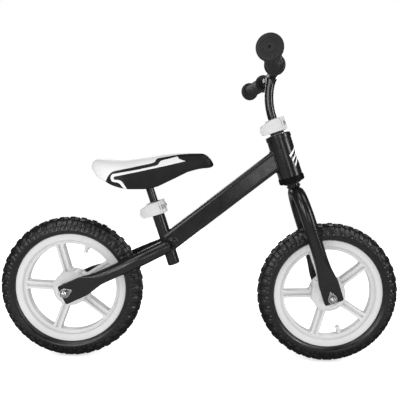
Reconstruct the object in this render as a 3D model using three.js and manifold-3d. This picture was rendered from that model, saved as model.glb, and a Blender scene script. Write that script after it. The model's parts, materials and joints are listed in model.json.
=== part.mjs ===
// Child's balance bike: steel frame and fork, two five-spoke wheels with solid foam tyres,
// a sliding saddle and a sliding handlebar, each held by a quick-release clamp.
// Millimetres. +X forward, +Y to the rider's left, +Z up. The origin is on the ground,
// midway between the two axles. Neighbouring pieces keep a gap of about 0.3 mm.
import * as THREE from 'three'
import { mergeVertices } from 'three/addons/utils/BufferGeometryUtils.js'
import Module from 'manifold-3d'

const wasm = await Module()
wasm.setup()

// ---------------------------------------------------------------- driving dimensions

const GAP = 0.3

const WHEEL = {
  radius: 150,
  base: 542.6,
  sides: 32,
  seatRadius: 115.2, // outside of the rim, where the tyre sits
  ribRadius: 118.9, // the rib that keeps the tyre on
  innerRadius: 93.5,
  rimHalf: 13,
  tyreHalf: 21,
  spokes: 5,
}

const HUB = {
  drumRadius: 36,
  drumHalf: 14,
  endRadius: 23,
  half: 33.7,
  bore: 7.5,
}

const BEARING = { outer: 11, bore: 4.2, width: 7 }

const AXLE = { radius: 3.9, half: 49 }

const DROPOUT = {
  inner: 39, // from the bike's centre plane to the plate's inner face
  thick: 4.5,
  slotRadius: 4.3,
  tabReach: 15, // from the axle to the safety washer's hook
}

const STEER = {
  tilt: THREE.MathUtils.degToRad(19.6),
  tubeRadius: 12.7,
  boreRadius: 10.9,
  bottom: 213, // heights along the steering axis, from the front axle
  top: 383.5,
}

const HEAD = { bottom: 261.3, top: 341.7, radius: 25.2, bore: 23 }

const SEAT = {
  tilt: THREE.MathUtils.degToRad(18.45),
  x: -56.8, // bottom end of the seat tube
  z: 204.5,
  tubeRadius: 12.7,
  boreRadius: 10.9,
  length: 136,
}

const MAIN = {
  tilt: THREE.MathUtils.degToRad(38.9),
  x: -72.7, // where its centre line crosses the seat tube's
  z: 248.4,
  length: 308,
  height: 40,
  width: 28,
  corner: 8,
  wall: 2.2,
}

const STAY = { angle: THREE.MathUtils.degToRad(25.6), radius: 14, wall: 1.8 }

const LEG = { radius: 14, spread: 45, forward: 1, wall: 2 }

const CLAMP = {
  height: 27.3,
  outer: 17.3,
  boltX: 16.3,
  earX: 20,
  earY: 9.5,
  pinY: -14.8,
  leverEnd: -34,
}

const BAR = {
  radius: 11,
  x: 138.4,
  z: 601.5,
  straight: 51, // half-length of the straight middle
  half: 199.7,
  sweep: THREE.MathUtils.degToRad(11.9),
  wall: 1.6,
}

const GRIP = { length: 120, bore: 11.3, body: 15.5, end: 22, flange: 19.5, cap: 5 }

const BAR_POST = { radius: 9.25, wall: 1.6, bottom: 285 }

const SEAT_POST = { radius: 8.4, wall: 1.5, bottom: 30, plateZ: 391.7 }

const LEFT = 1
const RIGHT = -1
const SIDES = [[RIGHT, 'right'], [LEFT, 'left']]

// ---------------------------------------------------------------- finishes

const PAINT = { color: 0x161617, roughness: 0.35, metalness: 0.2 }
const GLOSS_PAINT = { color: 0x121213, roughness: 0.25, metalness: 0.3 }
const WHITE_PLASTIC = { color: 0xe6e6e4, roughness: 0.4, metalness: 0 }
const BLACK_PLASTIC = { color: 0x151515, roughness: 0.55, metalness: 0 }
const NATURAL_PLASTIC = { color: 0xc9c5b8, roughness: 0.5, metalness: 0 }
const FOAM_RUBBER = { color: 0x1b1b1b, roughness: 0.85, metalness: 0 }
const GRIP_RUBBER = { color: 0x141414, roughness: 0.8, metalness: 0 }
const CHROME = { color: 0xcfd2d6, roughness: 0.15, metalness: 1 }
const STEEL = { color: 0x9b9da0, roughness: 0.35, metalness: 1 }
const COVER = { color: 0xececec, roughness: 0.5, metalness: 0 }

// ---------------------------------------------------------------- helpers

// One closed body: shared vertices merged, empty triangles dropped, faces pointing out.
function closed(geometry) {
  const bare = new THREE.BufferGeometry()
  bare.setAttribute('position', geometry.attributes.position.clone())
  bare.setIndex(geometry.index)
  const merged = mergeVertices(bare, 1e-4)
  const corners = merged.index.array
  const kept = []
  for (let i = 0; i < corners.length; i += 3) {
    const [a, b, c] = corners.slice(i, i + 3)
    if (a !== b && b !== c && c !== a) kept.push(a, b, c)
  }
  merged.setIndex(kept)
  if (signedVolume(merged) < 0) merged.setIndex(kept.reverse())
  return merged
}

function signedVolume(geometry) {
  const points = geometry.attributes.position
  const corners = geometry.index.array
  const [a, b, c] = [new THREE.Vector3(), new THREE.Vector3(), new THREE.Vector3()]
  let sum = 0
  for (let i = 0; i < corners.length; i += 3) {
    a.fromBufferAttribute(points, corners[i])
    b.fromBufferAttribute(points, corners[i + 1])
    c.fromBufferAttribute(points, corners[i + 2])
    sum += a.dot(b.cross(c))
  }
  return sum / 6
}

function solid(geometry) {
  const body = closed(geometry)
  return new wasm.Manifold(new wasm.Mesh({
    numProp: 3,
    vertProperties: new Float32Array(body.attributes.position.array),
    triVerts: new Uint32Array(body.index.array),
  }))
}

function geometryOf(manifold) {
  const { vertProperties, triVerts } = manifold.getMesh()
  const geometry = new THREE.BufferGeometry()
  geometry.setAttribute('position', new THREE.BufferAttribute(vertProperties, 3))
  geometry.setIndex(new THREE.BufferAttribute(triVerts, 1))
  return geometry
}

function cut(geometry, ...tools) {
  return geometryOf(tools.reduce((body, tool) => body.subtract(solid(tool)), solid(geometry)))
}

function join(...pieces) {
  return geometryOf(pieces.map(solid).reduce((body, piece) => body.add(piece)))
}

function common(a, b) {
  return geometryOf(solid(a).intersect(solid(b)))
}

// A turned piece about Z from its outline of [radius, z] points. An outline off the axis is a ring.
function turned(outline, sides = 20) {
  const points = outline.map(([radius, z]) => new THREE.Vector2(radius, z))
  if (outline[0][0] > 0) points.push(points[0].clone())
  return closed(new THREE.LatheGeometry(points, sides).rotateX(Math.PI / 2))
}

// The same about Y, for wheels and what is on their axles.
function turnedY(outline, sides = 20) {
  return turned(outline, sides).rotateX(-Math.PI / 2)
}

function ring(inner, outer, low, high, sides = 20) {
  return turned([[inner, low], [outer, low], [outer, high], [inner, high]], sides)
}

function rod(radius, low, high, sides = 12) {
  return turned([[0, low], [radius, low], [radius, high], [0, high]], sides)
}

function ringY(inner, outer, low, high, sides = 20) {
  return ring(inner, outer, low, high, sides).rotateX(-Math.PI / 2)
}

function rodY(radius, low, high, sides = 12) {
  return rod(radius, low, high, sides).rotateX(-Math.PI / 2)
}

function block(x0, x1, y0, y1, z0, z1) {
  const box = new THREE.BoxGeometry(x1 - x0, y1 - y0, z1 - z0)
  return box.translate((x0 + x1) / 2, (y0 + y1) / 2, (z0 + z1) / 2)
}

// A flat outline of [x, y] points, from z = low to z = high.
function plate(outline, low, high) {
  const shape = new THREE.Shape(outline.map(([x, y]) => new THREE.Vector2(x, y)))
  const geometry = new THREE.ExtrudeGeometry(shape, { depth: high - low, bevelEnabled: false })
  return geometry.translate(0, 0, low)
}

function roundedRectangle(width, height, corner) {
  const [x, y] = [width / 2, height / 2]
  const shape = new THREE.Shape()
  shape.moveTo(-x + corner, -y)
  shape.lineTo(x - corner, -y)
  shape.absarc(x - corner, -y + corner, corner, -Math.PI / 2, 0)
  shape.absarc(x - corner, y - corner, corner, 0, Math.PI / 2)
  shape.absarc(-x + corner, y - corner, corner, Math.PI / 2, Math.PI)
  shape.absarc(-x + corner, -y + corner, corner, Math.PI, 1.5 * Math.PI)
  return shape
}

// A body through a row of sections. Each section has a centre, two directions (side, up),
// its half-sizes along them, and square: 1 is an ellipse, near 0 a rectangle.
function swept(sections, sides = 16) {
  const rows = sections.length - 1
  const geometry = new THREE.CylinderGeometry(1, 1, 1, sides, rows)
  const points = geometry.attributes.position
  const soften = (value, power) => {
    return Math.abs(value) < 1e-9 ? 0 : Math.sign(value) * Math.abs(value) ** power
  }
  for (let i = 0; i < points.count; i++) {
    const section = sections[Math.round((points.getY(i) + 0.5) * rows)]
    const across = soften(points.getX(i), section.square) * section.wide
    const upward = soften(points.getZ(i), section.square) * section.high
    const point = section.centre.clone()
    point.addScaledVector(section.side, across)
    point.addScaledVector(section.up, upward)
    points.setXYZ(i, point.x, point.y, point.z)
  }
  return closed(geometry)
}

// Round sections at right angles to a path that lies in the plane of `side`'s normal.
function roundSections(path, radius, side) {
  return path.map((centre, i) => {
    const before = path[Math.max(i - 1, 0)]
    const after = path[Math.min(i + 1, path.length - 1)]
    const along = after.clone().sub(before).normalize()
    const up = along.clone().cross(side).normalize()
    return { centre, side, up, wide: radius, high: radius, square: 1 }
  })
}

// A piece modelled on the left, mirrored for the right.
function onSide(side, geometry) {
  return geometry.clone().scale(1, side, 1)
}

const bike = new THREE.Group()

function addPart(parent, name, geometry, finish) {
  const mesh = new THREE.Mesh(closed(geometry), new THREE.MeshStandardMaterial(finish))
  mesh.name = name
  parent.add(mesh)
}

// A frame in the centre plane, its Z leaning back by tilt.
function leaningFrame(x, z, tilt) {
  const frame = new THREE.Group()
  frame.position.set(x, 0, z)
  frame.rotation.y = -tilt
  frame.updateMatrix()
  bike.add(frame)
  return frame
}

function wheelFrame(x) {
  const frame = new THREE.Group()
  frame.position.set(x, 0, WHEEL.radius)
  frame.updateMatrix()
  bike.add(frame)
  return frame
}

function inBike(frame, geometry) {
  return geometry.clone().applyMatrix4(frame.matrix)
}

const steerFrame = leaningFrame(WHEEL.base / 2, WHEEL.radius, STEER.tilt)
const seatFrame = leaningFrame(SEAT.x, SEAT.z, SEAT.tilt)
const rearFrame = wheelFrame(-WHEEL.base / 2)
const frontFrame = wheelFrame(WHEEL.base / 2)

// ---------------------------------------------------------------- wheels

function tyre() {
  const { radius, seatRadius, ribRadius, rimHalf, tyreHalf } = WHEEL
  const bore = seatRadius + GAP
  const groove = ribRadius + GAP
  return turnedY([
    [bore, -rimHalf - 2], [123, -tyreHalf], [139, -tyreHalf], [radius, -6],
    [radius, 6], [139, tyreHalf], [123, tyreHalf], [bore, rimHalf + 2],
    [bore, 6.3], [groove, 6.3], [groove, -6.3], [bore, -6.3],
  ], WHEEL.sides)
}

function rimRing() {
  const { innerRadius, seatRadius, ribRadius, rimHalf } = WHEEL
  return turnedY([
    [innerRadius, -7], [100.5, -8], [101.5, -rimHalf], [seatRadius, -rimHalf],
    [seatRadius, -6], [ribRadius, -6], [ribRadius, 6], [seatRadius, 6],
    [seatRadius, rimHalf], [101.5, rimHalf], [100.5, 8], [innerRadius, 7],
  ], WHEEL.sides)
}

function hubBody() {
  const { drumRadius, drumHalf, endRadius, half, bore } = HUB
  const seat = BEARING.outer + GAP
  const seatEnd = half - BEARING.width - GAP
  return turnedY([
    [seat, -half], [endRadius, -half], [endRadius, -30], [drumRadius, -drumHalf],
    [drumRadius, drumHalf], [endRadius, 30], [endRadius, half], [seat, half],
    [seat, seatEnd], [bore, seatEnd], [bore, -seatEnd], [seat, -seatEnd],
  ], 16)
}

// A spoke along +X with a groove down the middle of each face.
function spoke() {
  const section = [
    [-8, -8], [-2.5, -8], [-2.5, -4.5], [2.5, -4.5], [2.5, -8], [8, -8],
    [8, 8], [2.5, 8], [2.5, 4.5], [-2.5, 4.5], [-2.5, 8], [-8, 8],
  ]
  const start = HUB.drumRadius - 2.5
  const end = WHEEL.innerRadius + 3
  return plate(section, start, end).rotateX(Math.PI / 2).rotateZ(Math.PI / 2).rotateX(Math.PI / 2)
}

function valveStub() {
  const stub = turned([[0, 0], [4, 0], [5.2, 4], [5.2, 20], [0, 20]], 10)
  return stub.rotateY(Math.PI / 2).translate(WHEEL.innerRadius - 15, 0, 0)
}

function rim(firstSpoke, valveAngle) {
  const turnTo = (geometry, degrees) => geometry.rotateY(-THREE.MathUtils.degToRad(degrees))
  const pieces = [rimRing(), hubBody()]
  for (let i = 0; i < WHEEL.spokes; i++) {
    pieces.push(turnTo(spoke(), firstSpoke + (i * 360) / WHEEL.spokes))
  }
  pieces.push(turnTo(valveStub(), valveAngle))
  return join(...pieces)
}

function addWheel(frame, prefix, firstSpoke, valveAngle) {
  addPart(frame, `${prefix}_rim`, rim(firstSpoke, valveAngle), WHITE_PLASTIC)
  addPart(frame, `${prefix}_tyre`, tyre(), FOAM_RUBBER)
  const bearing = ringY(BEARING.bore, BEARING.outer, HUB.half - BEARING.width, HUB.half, 16)
  for (const [side, name] of SIDES) {
    addPart(frame, `${prefix}_bearing_${name}`, onSide(side, bearing), STEEL)
  }
}

// ---------------------------------------------------------------- axles

// The hooked safety washer: a round eye drawn out to a tip, its hook in the dropout's hole.
function tabWasher(tipAngle) {
  const shape = new THREE.Shape()
  shape.absarc(0, 0, 9.7, THREE.MathUtils.degToRad(50), THREE.MathUtils.degToRad(310), false)
  shape.quadraticCurveTo(12, -4, 17.3, 0)
  shape.quadraticCurveTo(12, 4, 9.7 * Math.cos(0.873), 9.7 * Math.sin(0.873))
  const low = DROPOUT.inner + DROPOUT.thick + GAP
  const options = { depth: 1.5, bevelEnabled: false, curveSegments: 8 }
  const flat = new THREE.ExtrudeGeometry(shape, options).translate(0, 0, low)
  const hook = rod(1.8, DROPOUT.inner + 1, low + 1, 8).translate(DROPOUT.tabReach, 0, 0)
  const eye = rod(AXLE.radius + GAP, low - 1, low + 3)
  const washer = cut(join(flat, hook), eye)
  return washer.rotateX(-Math.PI / 2).rotateY(-tipAngle)
}

// A domed hexagon, the same for the nut and for the axle bolt's head.
function domedHexagon() {
  const low = DROPOUT.inner + DROPOUT.thick + 2 * GAP + 1.5
  const outline = [[0, low], [7.5, low], [7.5, low + 4.6], [5.8, low + 5.4]]
  for (let i = 1; i <= 3; i++) {
    const angle = (i * Math.PI) / 8
    outline.push([5.8 * Math.cos(angle), low + 5.4 + 3 * Math.sin(angle)])
  }
  outline.push([0, low + 8.4])
  const hexagon = new THREE.CylinderGeometry(7.5, 7.5, 20, 6).rotateX(Math.PI / 2)
  return common(turned(outline, 12), hexagon.translate(0, 0, low)).rotateX(-Math.PI / 2)
}

// A long bolt with its head on the left; the nut is on the right.
function addAxle(frame, prefix, tipAngle) {
  const shank = rodY(AXLE.radius, -AXLE.half, AXLE.half)
  addPart(frame, `${prefix}_axle_bolt`, join(shank, domedHexagon()), CHROME)
  const thread = rodY(AXLE.radius + GAP, 0, AXLE.half + GAP)
  addPart(frame, `${prefix}_axle_nut`, onSide(RIGHT, cut(domedHexagon(), thread)), CHROME)
  const spacer = ringY(BEARING.bore, 7.5, HUB.half + GAP, DROPOUT.inner - GAP, 16)
  for (const [side, name] of SIDES) {
    addPart(frame, `${prefix}_washer_${name}`, onSide(side, tabWasher(tipAngle)), CHROME)
    addPart(frame, `${prefix}_axle_spacer_${name}`, onSide(side, spacer), STEEL)
  }
  const inside = HUB.half - BEARING.width - GAP
  addPart(frame, `${prefix}_bearing_spacer`, ringY(BEARING.bore, 6.4, -inside, inside, 16), STEEL)
}

// ---------------------------------------------------------------- frame

const SIDE = new THREE.Vector3(0, 1, 0)

// The main tube's outside, grown by `extra` all round, in the bike's own frame.
function mainTubeOutside(extra = 0) {
  const shape = roundedRectangle(MAIN.height + 2 * extra, MAIN.width + 2 * extra, MAIN.corner)
  return placeMain(shape)
}

function placeMain(shape) {
  const options = { depth: MAIN.length, bevelEnabled: false, curveSegments: 3 }
  const tube = new THREE.ExtrudeGeometry(shape, options)
  return tube.rotateY(Math.PI / 2 - MAIN.tilt).translate(MAIN.x, 0, MAIN.z)
}

const seatTubeTool = () => inBike(seatFrame, rod(SEAT.tubeRadius + GAP, -20, SEAT.length + 30, 20))
const headTubeTool = () => inBike(steerFrame, rod(HEAD.radius + GAP, 230, 400, 20))

function mainTube() {
  const inner = roundedRectangle(
    MAIN.height - 2 * MAIN.wall, MAIN.width - 2 * MAIN.wall, MAIN.corner - MAIN.wall)
  const tube = roundedRectangle(MAIN.height, MAIN.width, MAIN.corner)
  tube.holes.push(inner)
  return cut(placeMain(tube), seatTubeTool(), headTubeTool())
}

// A stay's point at a distance from the rear axle along it, and above its line.
function stayPoint(distance, y, above = 0) {
  const { angle } = STAY
  return new THREE.Vector3(
    -WHEEL.base / 2 + distance * Math.cos(angle) - above * Math.sin(angle),
    y,
    WHEEL.radius + distance * Math.sin(angle) + above * Math.cos(angle))
}

// [distance from the axle, offset from the centre plane, above the line, half-height,
// half-thickness, square]: a flat dropout that swells into a round tube and bends inward.
const PLATE_Y = DROPOUT.inner + DROPOUT.thick / 2
const PLATE_HALF = DROPOUT.thick / 2
const STAY_ROWS = [
  [-8.7, PLATE_Y, -2.3, 18.5, PLATE_HALF, 0.2],
  [-6, PLATE_Y, -2.3, 20.3, PLATE_HALF, 0.2],
  [38, PLATE_Y, -2.3, 20.3, PLATE_HALF, 0.2],
  [55, PLATE_Y + 0.4, -1.6, 17, 6.5, 0.6],
  [72, 42, -0.4, 13, 11.5, 0.9],
  [100, 42, 0, 13.6, 13.6, 1],
  [140, 42, 0, STAY.radius, STAY.radius, 1],
  [170, 38, 0, STAY.radius, STAY.radius, 1],
  [200, 29, 0, STAY.radius, STAY.radius, 1],
  [222, 25, 0, STAY.radius, STAY.radius, 1],
  [233, 24, 0, STAY.radius - 1, STAY.radius - 1, 1],
]

function staySections(rows, side, thinner = 0) {
  const up = new THREE.Vector3(-Math.sin(STAY.angle), 0, Math.cos(STAY.angle))
  return rows.map(([distance, y, above, high, wide, square]) => ({
    centre: stayPoint(distance, side * y, above),
    side: SIDE,
    up,
    wide: wide - thinner,
    high: high - thinner,
    square,
  }))
}

function stay(side) {
  const outside = swept(staySections(STAY_ROWS, side))
  const roundRows = STAY_ROWS.slice(5, -1)
  const inside = swept(staySections(roundRows, side, STAY.wall), 10)
  const vent = rodY(2, 0, 30, 8).scale(1, side, 1).translate(...stayPoint(205, 0).toArray())
  return cut(outside, seatTubeTool(), mainTubeOutside(GAP), inside, vent, ...dropoutCuts(rearFrame, side))
}

// The open slot for the axle and the hole for the safety washer's hook.
function dropoutCuts(frame, side) {
  const rear = frame === rearFrame
  const outward = rear ? Math.PI + STAY.angle : STEER.tilt - Math.PI / 2
  const span = [DROPOUT.inner - 4, DROPOUT.inner + DROPOUT.thick + 4]
  const [low, high] = side > 0 ? span : [-span[1], -span[0]]
  const eye = rodY(DROPOUT.slotRadius, low, high)
  const slot = block(0, 20, low, high, -DROPOUT.slotRadius, DROPOUT.slotRadius).rotateY(-outward)
  const hook = rodY(2.3, low, high, 8).translate(DROPOUT.tabReach, 0, 0).rotateY(Math.PI - outward)
  return [inBike(frame, join(eye, slot)), inBike(frame, hook)]
}

function addFrame() {
  addPart(bike, 'main_tube', mainTube(), PAINT)
  addPart(bike, 'right_stay', stay(RIGHT), PAINT)
  addPart(bike, 'left_stay', stay(LEFT), PAINT)
  const headTube = ring(HEAD.bore, HEAD.radius, HEAD.bottom, HEAD.top)
  addPart(steerFrame, 'head_tube', headTube, PAINT)

  const seatTube = ring(SEAT.boreRadius, SEAT.tubeRadius, 2.3, SEAT.length)
  const slit = block(0, 20, -1, 1, 112, SEAT.length + 1)
  addPart(seatFrame, 'seat_tube', cut(seatTube, slit), PAINT)
  const stem = SEAT.boreRadius - GAP
  const plug = turned([[0, 0], [11.8, 0], [12.7, 0.8], [12.7, 2], [stem, 2], [stem, 12], [0, 12]])
  addPart(seatFrame, 'seat_tube_plug', plug, BLACK_PLASTIC)
  const bush = ring(SEAT_POST.radius + GAP, SEAT.boreRadius - GAP, 92, SEAT.length)
  addPart(seatFrame, 'seat_post_bush', bush, NATURAL_PLASTIC)
}

// ---------------------------------------------------------------- headset

const BALL = { count: 10, radius: 2.3, circle: 17.8, lower: 254.3, upper: 349 }

// Balls held in their retainer, a thin ring at the height of their centres.
function ballBearing(height) {
  const { count, radius, circle } = BALL
  const pieces = [ring(circle - 0.8, circle + 0.8, height - 0.5, height + 0.5, count)]
  for (let i = 0; i < count; i++) {
    const ball = new THREE.IcosahedronGeometry(radius)
    pieces.push(ball.translate(circle, 0, height).rotateZ((i * 2 * Math.PI) / count))
  }
  return join(...pieces)
}

function addHeadset() {
  const neck = STEER.tubeRadius + GAP
  addPart(steerFrame, 'lower_headset_cup', turned([
    [20.8, 249.3], [25.4, 249.3], [26.85, 250.8], [26.85, 261], [22.7, 261], [22.7, 268],
    [20.2, 268], [20.2, 260.5], [14, 260.5], [14, 257.4], [19, 257], [20.8, 255.2],
  ]), PAINT)
  addPart(steerFrame, 'upper_headset_cup', turned([
    [20.2, 335], [22.7, 335], [22.7, 342], [26.2, 342], [26.2, 350.8], [24.8, 352.3],
    [20.8, 352.3], [20.8, 348.1], [19, 346.3], [14, 345.9], [14, 342.8], [20.2, 342.8],
  ]), PAINT)
  addPart(steerFrame, 'lower_ball_bearing', ballBearing(BALL.lower), STEEL)
  addPart(steerFrame, 'upper_ball_bearing', ballBearing(BALL.upper), STEEL)
  addPart(steerFrame, 'crown_race', turned([
    [neck, 245.3], [15.5, 245.3], [18.6, 247.3], [18.6, 249.6], [16, 252.3], [neck, 252.3],
  ]), STEEL)
  addPart(steerFrame, 'upper_race', turned([
    [neck, 350.9], [15.9, 350.9], [17.3, 352.2], [17.3, 353.3], [neck, 353.3],
  ]), STEEL)
  addPart(steerFrame, 'headset_lock_nut', ring(neck, 14.5, 353.6, 357, 24), BLACK_PLASTIC)
}

// ---------------------------------------------------------------- fork

// [height along the steering axis, offset, forward, half-width across, half-thickness, square]
const LEG_ROWS = [
  [-9.5, PLATE_Y, 1.8, 17.5, PLATE_HALF, 0.2],
  [-6.5, PLATE_Y, 1.8, 20.2, PLATE_HALF, 0.2],
  [34, PLATE_Y, 1.8, 20.2, PLATE_HALF, 0.2],
  [50, PLATE_Y + 1, 1.5, 17.5, 7, 0.6],
  [68, 44, LEG.forward, 14.6, 12, 0.9],
  [90, LEG.spread, LEG.forward, LEG.radius, LEG.radius, 1],
]
const LEG_BEND = { start: 160, rise: 66, inset: 34, steps: 6 }

function legSections(side, thinner = 0) {
  const sideways = new THREE.Vector3(1, 0, 0)
  const rows = thinner > 0 ? LEG_ROWS.slice(5) : LEG_ROWS
  const flat = rows.map(([height, y, forward, wide, high, square]) => ({
    centre: new THREE.Vector3(forward, side * y, height),
    side: sideways,
    up: SIDE,
    wide: wide - thinner,
    high: high - thinner,
    square,
  }))
  const path = []
  for (let i = 0; i <= LEG_BEND.steps; i++) {
    const turn = (i / LEG_BEND.steps) * (Math.PI / 2)
    const y = LEG.spread - LEG_BEND.inset * (1 - Math.cos(turn))
    const height = LEG_BEND.start + LEG_BEND.rise * Math.sin(turn)
    path.push(new THREE.Vector3(LEG.forward, side * y, height))
  }
  path.push(new THREE.Vector3(LEG.forward, -side, LEG_BEND.start + LEG_BEND.rise))
  const bend = roundSections(path, LEG.radius - thinner, sideways)
  for (const section of bend) {
    if (section.up.y < 0) section.up.negate()
  }
  return [...flat, ...bend]
}

function forkLeg(side) {
  const outside = swept(legSections(side))
  const inside = swept(legSections(side, LEG.wall), 10)
  const across = [side * -30, side * 0.2].sort((a, b) => a - b)
  const half = block(-30, 30, across[0], across[1], 150, 300)
  const neck = rod(STEER.tubeRadius + GAP, 200, 300, 20)
  const cuts = dropoutCuts(frontFrame, side)
  const toSteer = steerFrame.matrix.clone().invert()
  return cut(outside, half, neck, inside, ...cuts.map((tool) => tool.applyMatrix4(toSteer)))
}

function addFork() {
  const steerer = ring(STEER.boreRadius, STEER.tubeRadius, STEER.bottom, STEER.top)
  const slit = block(0, 20, -1, 1, 360, STEER.top + 1)
  addPart(steerFrame, 'fork_steerer', cut(steerer, slit), PAINT)
  addPart(steerFrame, 'right_fork_leg', forkLeg(RIGHT), PAINT)
  addPart(steerFrame, 'left_fork_leg', forkLeg(LEFT), PAINT)
  const bush = ring(BAR_POST.radius + GAP, STEER.boreRadius - GAP, 340, STEER.top)
  addPart(steerFrame, 'bar_post_bush', bush, NATURAL_PLASTIC)
}

// ---------------------------------------------------------------- quick-release clamps

const LEVER_SLOT = 3.9 // half-height of the gap between the lever's two knuckles

function clampCollar(tubeRadius) {
  const { height, outer, boltX, earX, earY } = CLAMP
  const band = rod(outer, 0, height, 24)
  const ears = block(9, earX, -earY, earY, 0, height)
  const bore = rod(tubeRadius + GAP, -1, height + 1, 20)
  const split = block(9, earX + 1, -1.5, 1.5, -1, height + 1)
  const boltHole = rodY(2.3, -20, 20, 12).translate(boltX, 0, height / 2)
  const spotFaces = [[-30, -earY], [earY, 30]].map(([y0, y1]) => block(10.9, 30, y0, y1, -1, height + 1))
  return cut(join(band, ears), bore, split, boltHole, ...spotFaces)
}

// The bolt's eye turns on the cam pin between the lever's knuckles.
function clampBolt() {
  const { boltX, pinY, height } = CLAMP
  const eye = rod(4.2, -3.5, 3.5)
  const shank = rodY(2, 2, 29.2, 12)
  const bolt = cut(join(eye, shank), rod(2.3, -5, 5, 12))
  return bolt.translate(boltX, pinY, height / 2)
}

function clampNut() {
  const { boltX, earY, height } = CLAMP
  const low = earY + GAP
  const outline = [[2.3, low], [5.2, low], [5.2, low + 4], [4.2, low + 5], [2.3, low + 5]]
  return turnedY(outline, 16).translate(boltX, 0, height / 2)
}

function clampPin() {
  return rod(1.95, 1, CLAMP.height - 1, 12).translate(CLAMP.boltX, CLAMP.pinY, 0)
}

function clampLever() {
  const { boltX, pinY, height, leverEnd } = CLAMP
  const arm = new THREE.Shape()
  arm.moveTo(boltX - 1, pinY + 2)
  arm.quadraticCurveTo(boltX - 5, -17.6, 0, -18)
  arm.quadraticCurveTo(-16, -18.4, leverEnd + 3, -8)
  arm.lineTo(leverEnd, -10.5)
  arm.quadraticCurveTo(-19, -22.8, 0, -22.6)
  arm.quadraticCurveTo(boltX - 4, -22.4, boltX + 2, pinY - 4)
  const options = { depth: height - 1, bevelEnabled: false, curveSegments: 6 }
  const wrapped = new THREE.ExtrudeGeometry(arm, options).translate(0, 0, 0.5)
  const outline = [[30, -1], [30, 30], [-9, 30], [-9, height - 0.5], [leverEnd - 1, 18.5], [leverEnd - 1, -1]]
  const sideView = plate(outline, 0, 30).rotateX(Math.PI / 2)
  const knuckles = rod(4.6, 0.5, height - 0.5, 16).translate(boltX, pinY + 0.5, 0)
  const slot = rod(5.6, -LEVER_SLOT, LEVER_SLOT).translate(boltX, pinY, height / 2)
  const pinHole = rod(2.3, -1, height + 1, 12).translate(boltX, pinY, 0)
  return cut(join(common(wrapped, sideView), knuckles), slot, pinHole)
}

function addClamp(frame, prefix, bottom, tubeRadius) {
  const clamp = new THREE.Group()
  clamp.position.z = bottom
  frame.add(clamp)
  addPart(clamp, `${prefix}_clamp_collar`, clampCollar(tubeRadius), WHITE_PLASTIC)
  addPart(clamp, `${prefix}_clamp_bolt`, clampBolt(), STEEL)
  addPart(clamp, `${prefix}_clamp_nut`, clampNut(), CHROME)
  addPart(clamp, `${prefix}_clamp_pin`, clampPin(), STEEL)
  addPart(clamp, `${prefix}_clamp_lever`, clampLever(), WHITE_PLASTIC)
}

// ---------------------------------------------------------------- handlebar

// The bar's centre line: straight in the middle, then swept back on each side.
function barPath(half) {
  const slope = Math.tan(BAR.sweep)
  const bend = 14
  const right = [
    [BAR.x - (half - BAR.straight) * slope, -half],
    [BAR.x - bend * slope, -BAR.straight - bend],
    [BAR.x - 1.0, -BAR.straight - 2],
    [BAR.x, -BAR.straight + bend],
  ]
  const left = right.map(([x, y]) => [x, -y]).reverse()
  return [...right, ...left].map(([x, y]) => new THREE.Vector3(x, y, BAR.z))
}

function crossbar() {
  const upward = new THREE.Vector3(0, 0, 1)
  const outside = swept(roundSections(barPath(BAR.half), BAR.radius, upward))
  const inside = swept(roundSections(barPath(BAR.half + 1), BAR.radius - BAR.wall, upward), 10)
  return cut(outside, inside)
}

// The bar post: straight in the steerer, then curved forward up to the crossbar.
function barPostPath(low) {
  const up = new THREE.Vector3(-Math.sin(STEER.tilt), 0, Math.cos(STEER.tilt))
  const axle = new THREE.Vector3(WHEEL.base / 2, 0, WHEEL.radius)
  const onAxis = (height) => axle.clone().addScaledVector(up, height)
  const top = new THREE.Vector3(BAR.x, 0, BAR.z)
  const curve = new THREE.QuadraticBezierCurve3(onAxis(392), onAxis(433), top)
  return [onAxis(low), ...curve.getPoints(6)]
}

function barPost() {
  const outside = swept(roundSections(barPostPath(BAR_POST.bottom), BAR_POST.radius, SIDE))
  const thin = BAR_POST.radius - BAR_POST.wall
  const inside = swept(roundSections(barPostPath(BAR_POST.bottom - 1), thin, SIDE), 10)
  const seat = rodY(BAR.radius + GAP, -30, 30, 20).translate(BAR.x, 0, BAR.z)
  return cut(outside, inside, seat)
}

// A grip about Z, its closed outer end at z = 0 and its inner flange at the far end.
function grip() {
  const { length, bore, body, end, flange, cap } = GRIP
  return turned([
    [2, 0], [end - 2, 0], [end, 2], [end, 6], [body + 3, 9], [body, 12], [body, length - 9],
    [flange, length - 6], [flange, length - 1.5], [flange - 1.5, length], [bore, length],
    [bore, cap], [2, cap],
  ])
}

function placedGrip(side) {
  const outer = BAR.half + GRIP.cap + GAP
  const x = BAR.x - (outer - BAR.straight) * Math.tan(BAR.sweep)
  const inward = new THREE.Vector3(Math.sin(BAR.sweep), -side * Math.cos(BAR.sweep), 0)
  const turn = new THREE.Quaternion().setFromUnitVectors(new THREE.Vector3(0, 0, 1), inward)
  return grip().applyQuaternion(turn).translate(x, side * outer, BAR.z)
}

function addHandlebar() {
  addPart(bike, 'bar_post', barPost(), GLOSS_PAINT)
  addPart(bike, 'crossbar', crossbar(), GLOSS_PAINT)
  addPart(bike, 'right_grip', placedGrip(RIGHT), GRIP_RUBBER)
  addPart(bike, 'left_grip', placedGrip(LEFT), GRIP_RUBBER)
}

// ---------------------------------------------------------------- saddle

// [x, top, skirt's lower edge, half-width], from the tail to the nose.
const SADDLE_ROWS = [
  [-229, 409, 404, 15], [-222, 418.5, 399, 36], [-205, 423, 388, 56], [-180, 423.2, 378, 68],
  [-150, 425, 367.5, 72], [-115, 429.3, 366, 66], [-85, 434, 373, 50], [-55, 437.3, 388, 35],
  [-25, 438.8, 401.5, 26], [0, 438.5, 408.5, 22], [14, 430.5, 411.5, 17], [22, 418.5, 412.5, 9],
]

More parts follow.
